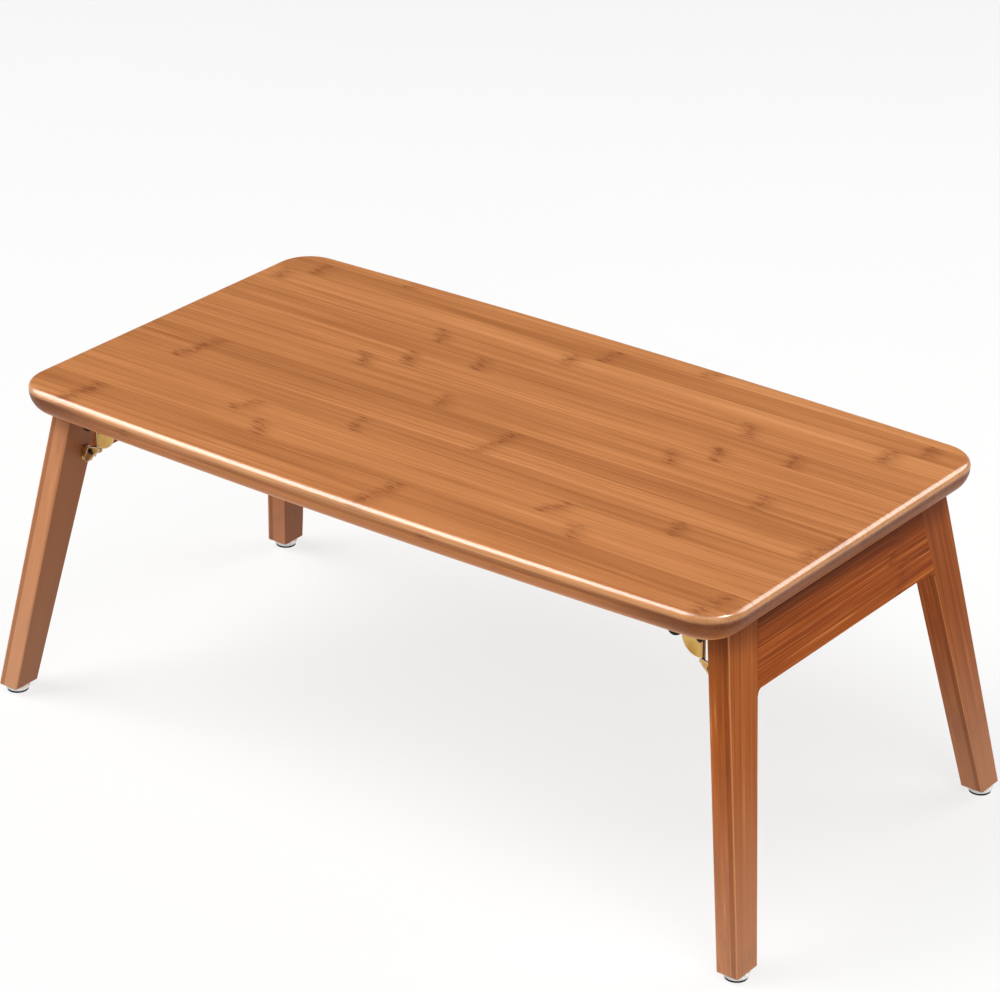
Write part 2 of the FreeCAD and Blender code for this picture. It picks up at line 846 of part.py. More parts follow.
def ear_outline():
    """The ear behind the pawl, a little smaller than the pawl all round."""
    margin = float(size.ear_margin)
    hub, tip = float(size.pawl_hub) - margin, float(size.tip_radius) - margin
    return around([(pawl_tip(), tip), (lock_pin(), hub)])


def leg_arm_outline():
    """From round the hinge pin down to behind the pawl's nose and its rivet."""
    half, margin = float(size.arm_width) / 2, float(size.ear_margin)
    pin, lean = lock_pin(), float(size.arm_lean)
    low = pin.z + float(size.pawl_hub) - margin
    arm_in, arm_out = Vector(-half, 0, 0), Vector(half, 0, 0)
    foot = polar(pin, float(size.pawl_hub) - margin, -135)
    edges = [
        Part.Arc(arm_out, Vector(0, 0, half), arm_in),
        Part.LineSegment(arm_in, Vector(-half, 0, low)),
        Part.LineSegment(Vector(-half, 0, low), foot),
        Part.LineSegment(foot, pin),
        Part.LineSegment(pin, Vector(pin.x, 0, low)),
        Part.LineSegment(Vector(pin.x, 0, low), Vector(half - lean, 0, low)),
        Part.LineSegment(Vector(half - lean, 0, low), arm_out),
    ]
    return Part.Wire([edge.toShape() for edge in edges])


def make_leg_plate(label):
    """The flange on the leg, with a web out to the ear and the arm that carries the pin."""
    outer_face = cheek_half_span - size.plate - size.plate_gap
    arm = plate_from(leg_arm_outline(), outer_face)
    ear = plate_from(ear_outline(), outer_face)
    face, thick = float(face_distance()), float(size.plate)
    flange = rounded_plate(size.leg_flange_height, size.leg_flange_width, size.flange_corner)
    flange.Placement = Placement(Vector(), Rotation(Vector(0, 1, 0), 90))
    flange.translate(Vector(face - thick, -float(outer_face), -float(size.leg_flange_top)))
    pin = lock_pin()
    corner = Vector(pin.x, -float(outer_face), pawl_tip().z)
    web = Part.makeBox(face - pin.x, thick, float(size.web_height), corner)
    plate = flange.fuse([arm, ear, web]).removeSplitter()
    plate = plate.cut(across_hole(size.rivet_radius + size.rivet_fit, 0, 0))
    plate = plate.cut(across_hole(size.rivet_radius + size.rivet_fit, size.ear_out, -size.ear_drop))
    plate = cut_from(plate, countersunk_hole(), leg_plate_screw_places(), leg_plate_screw_turn())
    return formed(label, leaning(plate))


def pawl_outline():
    """A nose on the cam, a hub round the rivet and a tip for the thumb."""
    nose = flat_point(-size.nose_out, -size.nose_drop)
    return around([
        (nose, float(size.nose_radius)),
        (pawl_tip(), float(size.tip_radius)),
        (lock_pin(), float(size.pawl_hub)),
    ])


def make_pawl(label):
    """The lock pawl: a flat lever on the ear's rivet, level with the cam."""
    pawl = plate_from(pawl_outline(), cheek_half_span)
    pawl = pawl.cut(across_hole(size.rivet_radius + size.rivet_fit, size.ear_out, -size.ear_drop))
    return formed(label, leaning(pawl))


def rivet(u, v, inner_half_span):
    """A rivet across the plates, with a domed head on each side."""
    outer = -float(cheek_half_span + size.plate_gap)
    inner = -float(inner_half_span - size.plate_gap)
    shank = float(size.rivet_radius)
    head, height = float(size.rivet_head), float(size.rivet_head_height)
    dome = (head * head + height * height) / (2 * height)
    half = math.asin(head / dome) / 2
    rise = height - dome + dome * math.cos(half)
    crown = dome * math.sin(half)
    outer_rim, inner_rim = Vector(head, outer, 0), Vector(head, inner, 0)
    outer_top, inner_top = Vector(0, outer - height, 0), Vector(0, inner + height, 0)
    profile = [
        Part.LineSegment(outer_top, inner_top),
        Part.Arc(inner_top, Vector(crown, inner + rise, 0), inner_rim),
        Part.LineSegment(inner_rim, Vector(shank, inner, 0)),
        Part.LineSegment(Vector(shank, inner, 0), Vector(shank, outer, 0)),
        Part.LineSegment(Vector(shank, outer, 0), outer_rim),
        Part.Arc(outer_rim, Vector(crown, outer - rise, 0), outer_top),
    ]
    face = Part.Face(Part.Wire([edge.toShape() for edge in profile]))
    body = face.revolve(Vector(), Vector(0, 1, 0), 360)
    body.translate(flat_point(u, v))
    return body


def make_pivot_rivet(label):
    inner = cheek_half_span - 2 * size.plate - size.plate_gap
    return formed(label, upright_set(rivet(0, 0, inner)))


def spring_inner_half_span():
    coil = SPRING_TURNS * size.spring_pitch + size.spring_wire
    return cheek_half_span - 2 * size.plate - 2 * size.plate_gap - coil


def make_pawl_rivet(label):
    shape = rivet(size.ear_out, -size.ear_drop, spring_inner_half_span())
    return formed(label, leaning(shape))


def make_spring(label):
    """A torsion spring: one unbroken wire, three turns round the rivet, with a straight end."""
    radius, pitch = float(size.spring_radius), float(size.spring_pitch)
    wire, arm = float(size.spring_wire), float(size.spring_arm)
    start = Vector(radius, 0, 0)
    points = []
    for step in range(SPRING_TURNS * TURN_STEPS + 1):
        turn = math.radians(360 * step / TURN_STEPS)
        height = pitch * step / TURN_STEPS
        points.append(Vector(radius * math.cos(turn), radius * math.sin(turn), height))
    edges = [Part.LineSegment(start - Vector(0, arm, 0), start).toShape()]
    for step in range(0, SPRING_TURNS * TURN_STEPS, 2):
        edges.append(Part.Arc(points[step], points[step + 1], points[step + 2]).toShape())
    edges.append(Part.LineSegment(points[-1], points[-1] + Vector(0, arm, 0)).toShape())
    path = Part.Wire(edges)
    circle = Part.Circle(start - Vector(0, arm, 0), Vector(0, 1, 0), wire / 2)
    coil = path.makePipeShell([Part.Wire(circle.toShape())], True, False)
    gap = pitch - wire
    print(f"{label}: least gap between turns {gap:.2f} mm, wire length {path.Length:.1f} mm")
    lay = Rotation(Vector(1, 0, 0), -90)
    pin = flat_point(size.ear_out, -size.ear_drop)
    first = -float(cheek_half_span - 2 * size.plate - 2 * size.plate_gap) + wire / 2
    turn = Rotation(Vector(0, 1, 0), 180)
    coil.Placement = Placement(pin + Vector(0, first, 0), turn.multiply(lay))
    return formed(label, leaning(coil))


# Screws of the brackets


def screw_shapes(places, turn):
    screws = []
    for place in places:
        screw = countersunk_screw()
        screw.Placement = Placement(place, turn)
        screws.append(screw)
    return screws


def make_top_plate_screws(label):
    shapes = screw_shapes(top_plate_screw_places(), top_plate_screw_turn())
    return formed(label, upright_set(Part.makeCompound(shapes)))


def make_leg_plate_screws(label):
    shapes = screw_shapes(leg_plate_screw_places(), leg_plate_screw_turn())
    return formed(label, leaning(Part.makeCompound(shapes)))


def make_buffer(label):
    """A rubber buffer under the top: a straight stem and a round nose."""
    body = make_body(label)
    sketch = make_sketch(body, f"{label}_profile", "XZ_Plane")
    radius, height = size.buffer_radius, size.buffer_height
    corners = [
        (0, underside - height),
        (radius, underside - height + radius),
        (radius, underside),
        (0, underside),
    ]
    draw_outline(sketch, corners, {0: (radius, (0, underside - height + radius))})
    solid = add_feature(body, "Revolution", f"{label}_turned", Profile=sketch)
    solid.ReferenceAxis = (sketch, ["V_Axis"])
    solid.Angle = 360
    bind(body, "Placement.Base.x", pivot_reach - size.buffer_inset)
    bind(body, "Placement.Base.y", size.buffer_edge - size.top_depth / 2)
    doc.recompute()
    return body


# The pieces, each under the name of its file

PIECES = [make_tabletop()]
PIECES += four_corners(make_top_plate, "top_bracket")
PIECES += four_corners(make_leg, "leg")
PIECES += four_corners(make_leg_plate, "leg_bracket")
PIECES += four_corners(make_pawl, "lock_pawl")
PIECES += four_corners(make_spring, "lock_spring")


def all_four(make, label):
    """Like pieces of all four corners in one group."""
    return [grouped(label, four_corners(make, f"{label}_one"))]


PIECES += all_four(make_top_plate_screws, "top_bracket_screws")
PIECES += all_four(make_pivot_rivet, "pivot_rivets")
PIECES += all_four(make_buffer, "rubber_buffers")
PIECES += two_groups(make_leg_plate_screws, "leg_bracket_screws")
PIECES += two_groups(make_pawl_rivet, "pawl_rivets")
PIECES += two_groups(make_glide, "glides")
PIECES += two_groups(make_glide_pad, "glide_soles")
PIECES += two_groups(make_glide_screw, "glide_screws")
for make, label in ((make_rail, "rail"), (make_dowels, "rail_dowels")):
    right = make(f"{label}_right")
    PIECES += [right, mirrored(right, f"{label}_left", ACROSS_LENGTH)]

doc.recompute()

# Nothing is written unless every object is sound

for item in doc.Objects:
    if "Invalid" in item.State or "Error" in item.State:
        raise RuntimeError(f"{item.Label} failed: {item.State}")
for piece in PIECES:
    shape = piece.Shape
    if shape.isNull() or not shape.isValid() or not shape.Solids:
        raise RuntimeError(f"{piece.Label} is not a sound solid")

os.makedirs("parts", exist_ok=True)
for piece in PIECES:
    piece.Shape.exportStep(f"parts/{piece.Label}.step")
    print(f"{piece.Label}: {len(piece.Shape.Solids)} solid(s), {piece.Shape.Volume:.0f} mm3")
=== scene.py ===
# %% [markdown]
# A low folding table of carbonised bamboo: a rounded top and two end frames that fold under it.
# The solid model fixes every size and every joint, so this file only dresses it: it loads the
# solids, reads the boxes of some, and then builds finishes, a few finer meshes, light and a camera.

import math

import bmesh
import bpy
from mathutils import Matrix, Vector


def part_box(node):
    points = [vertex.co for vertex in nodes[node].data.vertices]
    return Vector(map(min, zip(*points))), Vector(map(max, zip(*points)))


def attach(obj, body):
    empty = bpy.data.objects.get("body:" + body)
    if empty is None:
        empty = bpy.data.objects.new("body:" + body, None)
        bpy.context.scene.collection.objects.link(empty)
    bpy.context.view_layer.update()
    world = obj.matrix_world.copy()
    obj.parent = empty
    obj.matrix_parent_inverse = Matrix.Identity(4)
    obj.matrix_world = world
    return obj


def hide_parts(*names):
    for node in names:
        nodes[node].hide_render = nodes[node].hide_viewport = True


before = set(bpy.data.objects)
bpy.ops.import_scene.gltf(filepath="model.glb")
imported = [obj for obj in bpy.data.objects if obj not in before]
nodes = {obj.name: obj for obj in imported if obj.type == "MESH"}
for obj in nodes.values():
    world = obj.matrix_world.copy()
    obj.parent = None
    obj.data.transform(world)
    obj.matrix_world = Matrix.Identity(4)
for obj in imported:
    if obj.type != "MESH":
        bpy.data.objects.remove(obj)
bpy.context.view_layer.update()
MM = 0.001
SIDES = {"right": 1, "left": -1}
ENDS = {"front": -1, "back": 1}

# %% [markdown]
# A finish is a small program drawn with nodes. Written as plain Python it reads far better, so one
# class wraps a socket that carries a number: an expression on it adds the Math nodes, also when
# the plain number stands first, as in 1 - mask.


# %% Numbers that vary over a surface
class Field:
    """A number that varies over a surface, carried by a socket of a node."""

    def __init__(self, finish, socket):
        self.finish = finish
        self.socket = socket

    def math(self, operation, *others):
        return self.finish.math(operation, self, *others)

    def __add__(self, other):
        return self.math("ADD", other)

    def __sub__(self, other):
        return self.math("SUBTRACT", other)

    def __mul__(self, other):
        return self.math("MULTIPLY", other)

    def __truediv__(self, other):
        return self.math("DIVIDE", other)

    def __rsub__(self, other):
        return self.finish.math("SUBTRACT", other, self)

    __radd__ = __add__
    __rmul__ = __mul__

    def floor(self):
        return self.math("FLOOR")

    def fraction(self):
        return self.math("FRACT")

    def size(self):
        return self.math("ABSOLUTE")

    def rise(self, start, end):
        """0 below start, 1 above end and a smooth step between them; start above end turns it round."""
        return self.finish.node(
            "ShaderNodeMapRange",
            {"interpolation_type": "SMOOTHSTEP"},
            {"Value": self, "From Min": start, "From Max": end},
        )


print("a number can", [name for name in vars(Field) if not name.startswith("_")])

# %% [markdown]
# The finish itself holds the material and its node tree. Every node comes from one method, node(),
# which sets the node's own settings first and then gives its sockets a value or a link. Colours
# and directions use Mix and Vector Math, because a Math node would turn them grey.


# %% A finish and its nodes
class Finish:
    """A material under construction: its tree, its shader and the ways to add nodes to it."""

    def __init__(self, name, **constants):
        self.material = bpy.data.materials.new(name)
        self.material.use_nodes = True
        self.tree = self.material.node_tree
        self.shader = self.tree.nodes["Principled BSDF"]
        for socket, value in constants.items():
            self.shader.inputs[socket.replace("_", " ")].default_value = value

    def node(self, kind, settings=None, sockets=None, output=0):
        made = self.tree.nodes.new(kind)
        for name, value in (settings or {}).items():
            if name == "stops":
                self.set_stops(made.color_ramp, value)
            else:
                setattr(made, name, value)
        for name, value in (sockets or {}).items():
            self.feed(made.inputs[name], value)
        return Field(self, made.outputs[output])

    def set_stops(self, ramp, stops):
        while len(ramp.elements) < len(stops):
            ramp.elements.new(1)
        for element, (position, colour) in zip(ramp.elements, stops):
            element.position = position
            element.color = (*colour, 1)

    def feed(self, socket, value):
        if isinstance(value, Field):
            self.tree.links.new(value.socket, socket)
        else:
            socket.default_value = value

    def math(self, operation, *values):
        sockets = dict(enumerate(values))
        return self.node("ShaderNodeMath", {"operation": operation}, sockets)

    def vector(self, operation, *values, output=0):
        return self.node("ShaderNodeVectorMath", {"operation": operation}, dict(enumerate(values)), output)

    def dot(self, vector, direction):
        return self.vector("DOT_PRODUCT", vector, tuple(direction), output=1)

    def joined(self, along, across, through):
        return self.node("ShaderNodeCombineXYZ", {}, {"X": along, "Y": across, "Z": through})

    def place(self):
        """The point on the surface, in the piece's own frame and in metres."""
        return self.node("ShaderNodeTexCoord", {}, {}, 3)

    def noise(self, vector, scale=1, detail=2, roughness=0.5):
        sockets = {"Vector": vector, "Scale": scale, "Detail": detail, "Roughness": roughness}
        return self.node("ShaderNodeTexNoise", {}, sockets)

    def chance(self, *numbers):
        """A random number from 0 to 1 that is the same wherever the given numbers are the same."""
        vector = self.joined(*(list(numbers) + [0, 0])[:3])
        return self.node("ShaderNodeTexWhiteNoise", {"noise_dimensions": "3D"}, {"Vector": vector})

    def ramp(self, factor, stops):
        return self.node("ShaderNodeValToRGB", {"stops": stops}, {0: factor})

    def mix(self, factor, first, second, blend="MIX"):
        first, second = (c if isinstance(c, Field) else (*c, 1) for c in (first, second))
        settings = {"data_type": "RGBA", "blend_type": blend, "clamp_factor": True}
        return self.node("ShaderNodeMix", settings, {0: factor, 6: first, 7: second}, 2)

    def relief(self, height, depth, under=None):
        """A bump of that depth in metres; under is a relief that lies beneath this one."""
        sockets = {"Height": height, "Strength": 1, "Distance": depth}
        if under:
            sockets["Normal"] = under
        return self.node("ShaderNodeBump", {}, sockets)

    def finished(self, **fields):
        for socket, value in fields.items():
            self.feed(self.shader.inputs[socket.replace("_", " ")], value)
        return self.material


print("a finish can", [name for name in vars(Finish) if not name.startswith("_")])

# %% [markdown]
# Colours are easiest to judge as the screen shows them, but a shader wants linear light. This turns
# a screen colour, as three numbers up to 255, into the linear colour that a socket takes.


# %% Screen colours
def screen(red, green, blue):
    return tuple(((c / 255 + 0.055) / 1.055) ** 2.4 for c in (red, green, blue))


print("linear caramel", [round(c, 3) for c in screen(204, 132, 80)])

# %% [markdown]
# Bamboo board isn't sawn wood. It is strips split from the cane wall, planed to flat bars and glued
# side by side and in layers. A solid texture suits that: it is worked out from the point in space,
# so the fibres are streaks on the faces and dots on the sawn ends, with no seam at an edge. The
# board's three directions are along the fibres, across the strips and through the layers. From them
# comes the number of the strip, and from that number a tone and a shift that are its own.


# %% Strips of a board
class Strips:
    """The strips of a glued board: which one a point lies in, where in it, and its own tone."""

    def __init__(self, board, axes, origin, strip, layer, seed):
        self.board = board
        point = board.vector("SUBTRACT", board.place(), tuple(origin))
        self.along, self.across, self.through = (board.dot(point, axis) for axis in axes)
        layer_number = (self.through / layer).floor()
        wander = board.noise(board.joined(self.along * 3, layer_number * 9, seed), detail=1) - 0.5
        strips_across = (self.across + wander * (0.05 * strip)) / strip + layer_number * 0.37
        strip_number = strips_across.floor()
        place_in_strip = strips_across.fraction()
        self.off_centre = place_in_strip - 0.5
        self.tone = board.chance(strip_number, layer_number, seed)
        self.shift = board.chance(strip_number, layer_number, seed + 7)
        self.seam = self.off_centre.size().rise(0.5 - 0.45 * MM / strip, 0.5)

    def streaks(self, length_rate, width_rate, detail=2, roughness=0.5):
        """Noise drawn out along the fibres: how fast it changes along them and across them."""
        along = self.along * length_rate + self.shift * 40
        point = self.board.joined(along, self.across * width_rate, self.through * width_rate)
        return self.board.noise(point, detail=detail, roughness=roughness)


print("a strip knows its along, across, through, off_centre, tone, shift and seam")

# %% [markdown]
# Every 20 to 30 cm the cane has a node, the ring where a leaf grew. On the board it is a short
# ragged mark across the strip: a fine dark line, flecks where fibres bend out, and a soft shade on
# one side. Strips are glued as they come, so the shift of a strip also moves its nodes.


# %% Nodes of the cane
def cane_nodes(strips, spacing, scatter, shift, streaks):
    """Three masks round the nodes of every strip: the line, the flecks and the shade."""
    steps = strips.along / spacing + strips.shift * scatter + shift
    ragged_point = strips.board.joined(strips.along * 60, strips.across * 300, strips.through * 300)
    ragged = (strips.board.noise(ragged_point, detail=2) - 0.5) * 0.016
    slant = strips.off_centre * (strips.shift - 0.5) * 0.03
    from_node = (steps.fraction() - 0.5) * spacing + ragged + slant
    fleck_streaks = strips.streaks(90, 620)
    line_streaks = strips.streaks(160, 900, detail=1)
    line = from_node.size().rise(1.8 * MM, 0.2 * MM) * line_streaks.rise(0.36, 0.6)
    flecks = from_node.size().rise(10 * MM, 2 * MM) * fleck_streaks.rise(0.5, 0.57)
    shade = (from_node - 4 * MM).size().rise(16 * MM, 0) * streaks.rise(0.28, 0.62)
    return line, flecks, shade


print("nodes: a line 2 mm wide, flecks within 10 mm and a shade within 16 mm")

# %% [markdown]
# A board is paler or darker along its edges: by its layers, and by painted highlights, painted
# reflections and painted shade. Each such band is one row of a table: its direction, where it
# starts, where it is full, where it begins to fade, where it is gone, its strength and its tint. The
# places are in millimetres from the board's own origin. A rim is a band through the layers that shows
# only toward the two ends of the board; on the top it is painted shade.

# %% Bands of tint
FAR = 1000
END_SHADE_START = 200 * MM
END_SHADE_FULL = 330 * MM


def banded(strips, colour, bands):
    ways = {direction: getattr(strips, direction) for direction in ("along", "across", "through")}
    ways["rim"] = strips.through
    for direction, starts, full, fades, gone, strength, tint in bands:
        way = ways[direction]
        band = way.rise(starts * MM, full * MM) * way.rise(gone * MM, fades * MM)
        if direction == "rim":
            band = band * strips.along.size().rise(END_SHADE_START, END_SHADE_FULL)
        colour = strips.board.mix(band * strength, colour, screen(*tint))
    return colour


print("a rim shows from", round(END_SHADE_START / MM), "mm off the middle")

# %% [markdown]
# The finish of a board lays these on top of each other: the ramp gives the strips their caramel
# tones, pale and dark hairs follow the fibres, then come the nodes, the seams and the bands. Steam
# has browned this bamboo all through, so its sawn ends have the same colours as its faces. The
# lacquer is a thin coat on the faces that thins out on the rounded under edge.


# %% Finish of a bamboo board
def bamboo(
    name,
    axes,
    origin,
    strip,
    layer,
    node_spacing,
    node_scatter,
    colours,
    bands,
    lacquer,
    hair_strength,
    shine,
    spread,
    fineness=1.0,
    node_shift=0.0,
    seed=0.0,
):
    """A board whose strips run along axes[0], side by side along axes[1], in layers along axes[2]."""
    board = Finish(name, Specular_IOR_Level=shine, Coat_Roughness=0.19, Coat_IOR=1.55)
    strips = Strips(board, axes, origin, strip, layer, seed)
    fibres = strips.streaks(7, 800, detail=3, roughness=0.6)
    streaks = strips.streaks(2.2 * fineness, 210 * fineness)
    clouds = strips.streaks(5, 45)
    hairs = strips.streaks(4, 420, detail=1).rise(0.54, 0.7) * (0.35 + clouds.rise(0.35, 0.6) * 0.65)
    line, flecks, shade = cane_nodes(strips, node_spacing, node_scatter, node_shift, streaks)

    grain = streaks * 0.42 + fibres * 0.55 + clouds * 0.22
    lightness = (strips.tone - 0.5) * spread + grain - 0.09
    base = board.ramp(lightness, [(place, screen(*colour)) for place, colour in colours])
    pale_hairs = fibres.rise(0.58, 0.72) * hair_strength * 0.5
    haired = board.mix(pale_hairs, base, screen(236, 166, 106))
    lined = board.mix(hairs * hair_strength, haired, screen(98, 44, 15))
    shaded = board.mix(shade * 0.3, lined, screen(124, 66, 30))
    marked = board.mix(line * 0.24 + flecks * 0.5, shaded, screen(104, 46, 18))
    seamed = board.mix(strips.seam * (0.2 + strips.shift * 0.35), marked, screen(92, 42, 17))

    fibre_relief = board.relief(fibres * 0.6 + streaks * 0.4, 0.022 * MM)
    under_edge = strips.through.rise(4.5 * MM, 9.5 * MM)
    return board.finished(
        Base_Color=banded(strips, seamed, bands),
        Roughness=0.36 + fibres * 0.16,
        Coat_Weight=lacquer * (1 - under_edge * 0.9),
        Normal=board.relief(line * 0.6 + strips.seam, 0.05 * MM, fibre_relief),
    )


print("a board takes its axes, the size of its strips, the spacing of its nodes and its colours")

# %% [markdown]
# The top is pressed flat: wide strips side by side in thin layers, with the nodes scattered over
# it. Its upper edge is painted paler, a painted highlight on the rounded arris; its middle is
# darker, and the under edge ends in a pale line, a painted reflection of the pale floor. Toward the
# ends the edge is painted much darker, a painted shade on the sawn ends and corners, which the light
# reaches less.

# %% Bamboo for the top
TOP_COLOURS = [
    (0.25, (138, 82, 44)),
    (0.45, (169, 107, 61)),
    (0.60, (186, 123, 74)),
    (0.85, (206, 146, 96)),
]
TOP_BANDS = [
    # painted highlight on the upper arris
    ("through", 1.2, 2.6, 5.0, 8.0, 0.28, (236, 176, 118)),
    ("through", 7.0, 8.8, 9.4, 11.4, 0.14, (122, 52, 10)),
    ("through", 10.0, 14.0, 26.8, 27.2, 0.4, (224, 138, 70)),
    # painted reflection of the pale floor on the under edge
    ("through", 21.5, 25.5, 26.8, 27.2, 0.4, (238, 184, 132)),
    # painted shade on the edge toward the ends and corners
    ("rim", 4.6, 8.0, 15.0, 26.2, 0.68, (84, 30, 4)),
]
top_low, top_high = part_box("tabletop")
bamboo_top = bamboo(
    "bamboo_top",
    axes=[(1, 0, 0), (0, 1, 0), (0, 0, -1)],
    origin=(0, top_low.y, top_high.z + 0.5 * MM),
    strip=26 * MM,
    layer=6.5 * MM,
    node_spacing=310 * MM,
    node_scatter=1.0,
    colours=TOP_COLOURS,
    bands=TOP_BANDS,
    lacquer=0.6,
    hair_strength=0.3,
    shine=0.1,
    spread=0.22,
    seed=3,
)
print("top in mm", [round(v / MM, 1) for v in top_high - top_low])

# %% [markdown]
# An end frame leans, so the axes of its bamboo lean with it. These are the frame's upward and
# outward directions, worked out from the splay of the legs.

# %% Directions of an end frame
LEG_SPLAY = math.radians(9.58)
SIDE_SPLAY = math.radians(9.5)
LEG_THICKNESS = 20.3 * math.cos(LEG_SPLAY)
LEVEL = Vector((0, 1, 0))


def frame_axes(side):
    """The upward and the outward direction of an end frame's plane."""
    up = Vector((-side * math.sin(LEG_SPLAY), 0, math.cos(LEG_SPLAY)))
    out = Vector((side * math.cos(LEG_SPLAY), 0, math.sin(LEG_SPLAY)))
    return up, out


print("a leg is", round(LEG_THICKNESS, 1), "mm thick, measured level")

# %% [markdown]
# A leg is a short bar of a few strips that run down it. It pales toward the foot, a painted light
# and reflection from the pale floor, and is dark under the top, a painted shadow of the top. Beside
# its outer arris it has a dark band and a light line, a painted highlight on the arris. The inner
# faces lie in shade, which is painted into them, on the left more than on the right. One leg is
# painted paler, a painted light from the left, and one is darker.

# %% Bamboo for the legs
LEG_COLOURS = [
    (0.25, (122, 55, 15)),
    (0.45, (153, 78, 26)),
    (0.60, (168, 90, 34)),
    (0.85, (192, 114, 54)),
]
half = LEG_THICKNESS / 2
LEG_BANDS = [
    # painted light and reflection from the pale floor toward the foot
    ("along", -60, 160, FAR, 2 * FAR, 0.5, (204, 152, 118)),
    # painted shadow of the top, just under it
    ("along", -FAR, -FAR / 2, -130, -104, 0.5, (70, 28, 8)),
    ("through", half - 6.2, half - 5.0, half - 2.2, half - 1.2, 0.4, (104, 48, 18)),
    # painted highlight on the outer arris
    ("through", half - 1.4, half - 0.9, half - 0.4, half - 0.1, 0.45, (226, 158, 108)),
]
# painted shade on the inner faces, which lie under the top
INNER_SHADE = {"right": 0.1, "left": 0.62}
LEG_PAINTED_LIGHT_AND_DARKENING = {
    # painted light from the left on this leg
    "leg_front_left": ("along", -FAR, -FAR / 2, FAR, 2 * FAR, 0.42, (236, 176, 130)),
    # this leg is darker all over
    "leg_back_right": ("along", -FAR, -FAR / 2, FAR, 2 * FAR, 0.22, (104, 40, 6)),
}
frame_bamboo = {}
for side_name, side in SIDES.items():
    up, out = frame_axes(side)
    inner_face_shade = ("through", -FAR, -half, -half, 0.8 - half, INNER_SHADE[side_name], (84, 40, 18))
    for end_name, end in ENDS.items():
        name = f"leg_{end_name}_{side_name}"
        low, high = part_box(name)
        down_leg = (-up + LEVEL * end * math.tan(SIDE_SPLAY)).normalized()
        leg_light_and_darkening = [LEG_PAINTED_LIGHT_AND_DARKENING[name]] if name in LEG_PAINTED_LIGHT_AND_DARKENING else []
        frame_bamboo[name] = bamboo(
            f"bamboo_{name}",
            axes=[down_leg, out.cross(down_leg), out],
            origin=(low + high) / 2,
            strip=24 * MM,
            layer=5.6 * MM,
            node_spacing=270 * MM,
            node_scatter=0.12,
            colours=LEG_COLOURS,
            bands=[*leg_light_and_darkening, *LEG_BANDS, inner_face_shade],
            lacquer=0.06,
            hair_strength=0.45,
            shine=0.06,
            spread=0.14,
            node_shift=0.1 * end + 0.05 * side,
            seed=11 + 2 * side + end,
        )
print(len(frame_bamboo), "finishes for the legs")

# %% [markdown]
# The rails are pressed upright: their strips stand on edge, so they look narrow, with more seams
# and finer streaks. The overhang of the top keeps their upper edge in shade, which is painted into
# their colour.

# %% Bamboo for the rails
RAIL_COLOURS = [
    (0.30, (94, 34, 6)),
    (0.45, (142, 66, 18)),
    (0.58, (166, 84, 26)),
    (0.76, (208, 124, 58)),
]
RAIL_SHADE_BANDS = [
    # painted shadow of the top's overhang, darkest right under it
    ("across", 0, 24, FAR, 2 * FAR, 0.3, (96, 42, 14)),
    ("across", 14, 25, FAR, 2 * FAR, 0.6, (62, 24, 8)),
]
for side_name, side in SIDES.items():
    name = f"rail_{side_name}"
    low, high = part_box(name)
    up, out = frame_axes(side)
    frame_bamboo[name] = bamboo(
        f"bamboo_{name}",
        axes=[LEVEL, up, out],
        origin=(low + high) / 2,
        strip=5.2 * MM,
        layer=17 * MM,
        node_spacing=330 * MM,
        node_scatter=0.05,
        colours=RAIL_COLOURS,
        bands=RAIL_SHADE_BANDS,
        lacquer=0.05,
        hair_strength=0.95,
        shine=0.04,
        spread=0.07,
        fineness=2.1,
        node_shift=0.25 * side,
        seed=29 + side,
    )
print(len(frame_bamboo), "finishes for the end frames")

# %% [markdown]
# The folding brackets are pressed from sheet steel and zinc plated, then passivated yellow. That
# film is a faint rainbow: gold that drifts towards pink and green. The metal under it is smooth with
# a fine rolling grain, so the colour drifts in big soft clouds and the roughness in short scratches.

# %% Yellow zinc
zinc = Finish("yellow_zinc", Metallic=1.0, Specular_IOR_Level=0.5)
zinc_clouds = zinc.noise(zinc.place(), scale=55, detail=3)
zinc_scratches = zinc.noise(zinc.vector("MULTIPLY", zinc.place(), (900, 900, 90)), detail=2)
zinc_gold = zinc.ramp(
    zinc_clouds,
    [
        (0.30, screen(176, 132, 62)),
        (0.48, screen(206, 168, 96)),
        (0.60, screen(196, 152, 88)),
        (0.75, screen(178, 156, 92)),
    ],
)
yellow_zinc = zinc.finished(
    Base_Color=zinc.mix(zinc_scratches.rise(0.62, 0.75) * 0.25, zinc_gold, screen(232, 206, 160)),
    Roughness=0.24 + zinc_scratches * 0.22,
    Normal=zinc.relief(zinc_scratches, 0.02 * MM),
)
# painted reflection of the pale floor on the rims of the plates, mottled
rim = Finish("yellow_zinc_rim", Metallic=0.35)
rim_reflection_mottle = rim.noise(rim.place(), scale=700, detail=2)
zinc_rim_reflection = rim.finished(
    Base_Color=rim.mix(rim_reflection_mottle.rise(0.35, 0.65), screen(246, 230, 214), screen(226, 194, 160)),
    Roughness=0.35 + rim_reflection_mottle * 0.2,
)
print("zinc finishes:", yellow_zinc.name, "and", zinc_rim_reflection.name)

# %% [markdown]
# Rivets and screws are steel with a darker oxide film, rubbed brighter in spots; the spring is bare
# drawn wire. The glides are white nylon on a black sole, and the buffers are moulded rubber.


# %% Small metal, nylon and rubber
def plain_steel(name, dark, bright, roughness):
    steel = Finish(name, Metallic=0.9)
    rubbed = steel.noise(steel.place(), scale=900, detail=3, roughness=0.6)
    return steel.finished(
        Base_Color=steel.mix(rubbed.rise(0.4, 0.75), dark, bright),
        Roughness=roughness + rubbed * 0.2,
        Normal=steel.relief(rubbed, 0.02 * MM),
    )


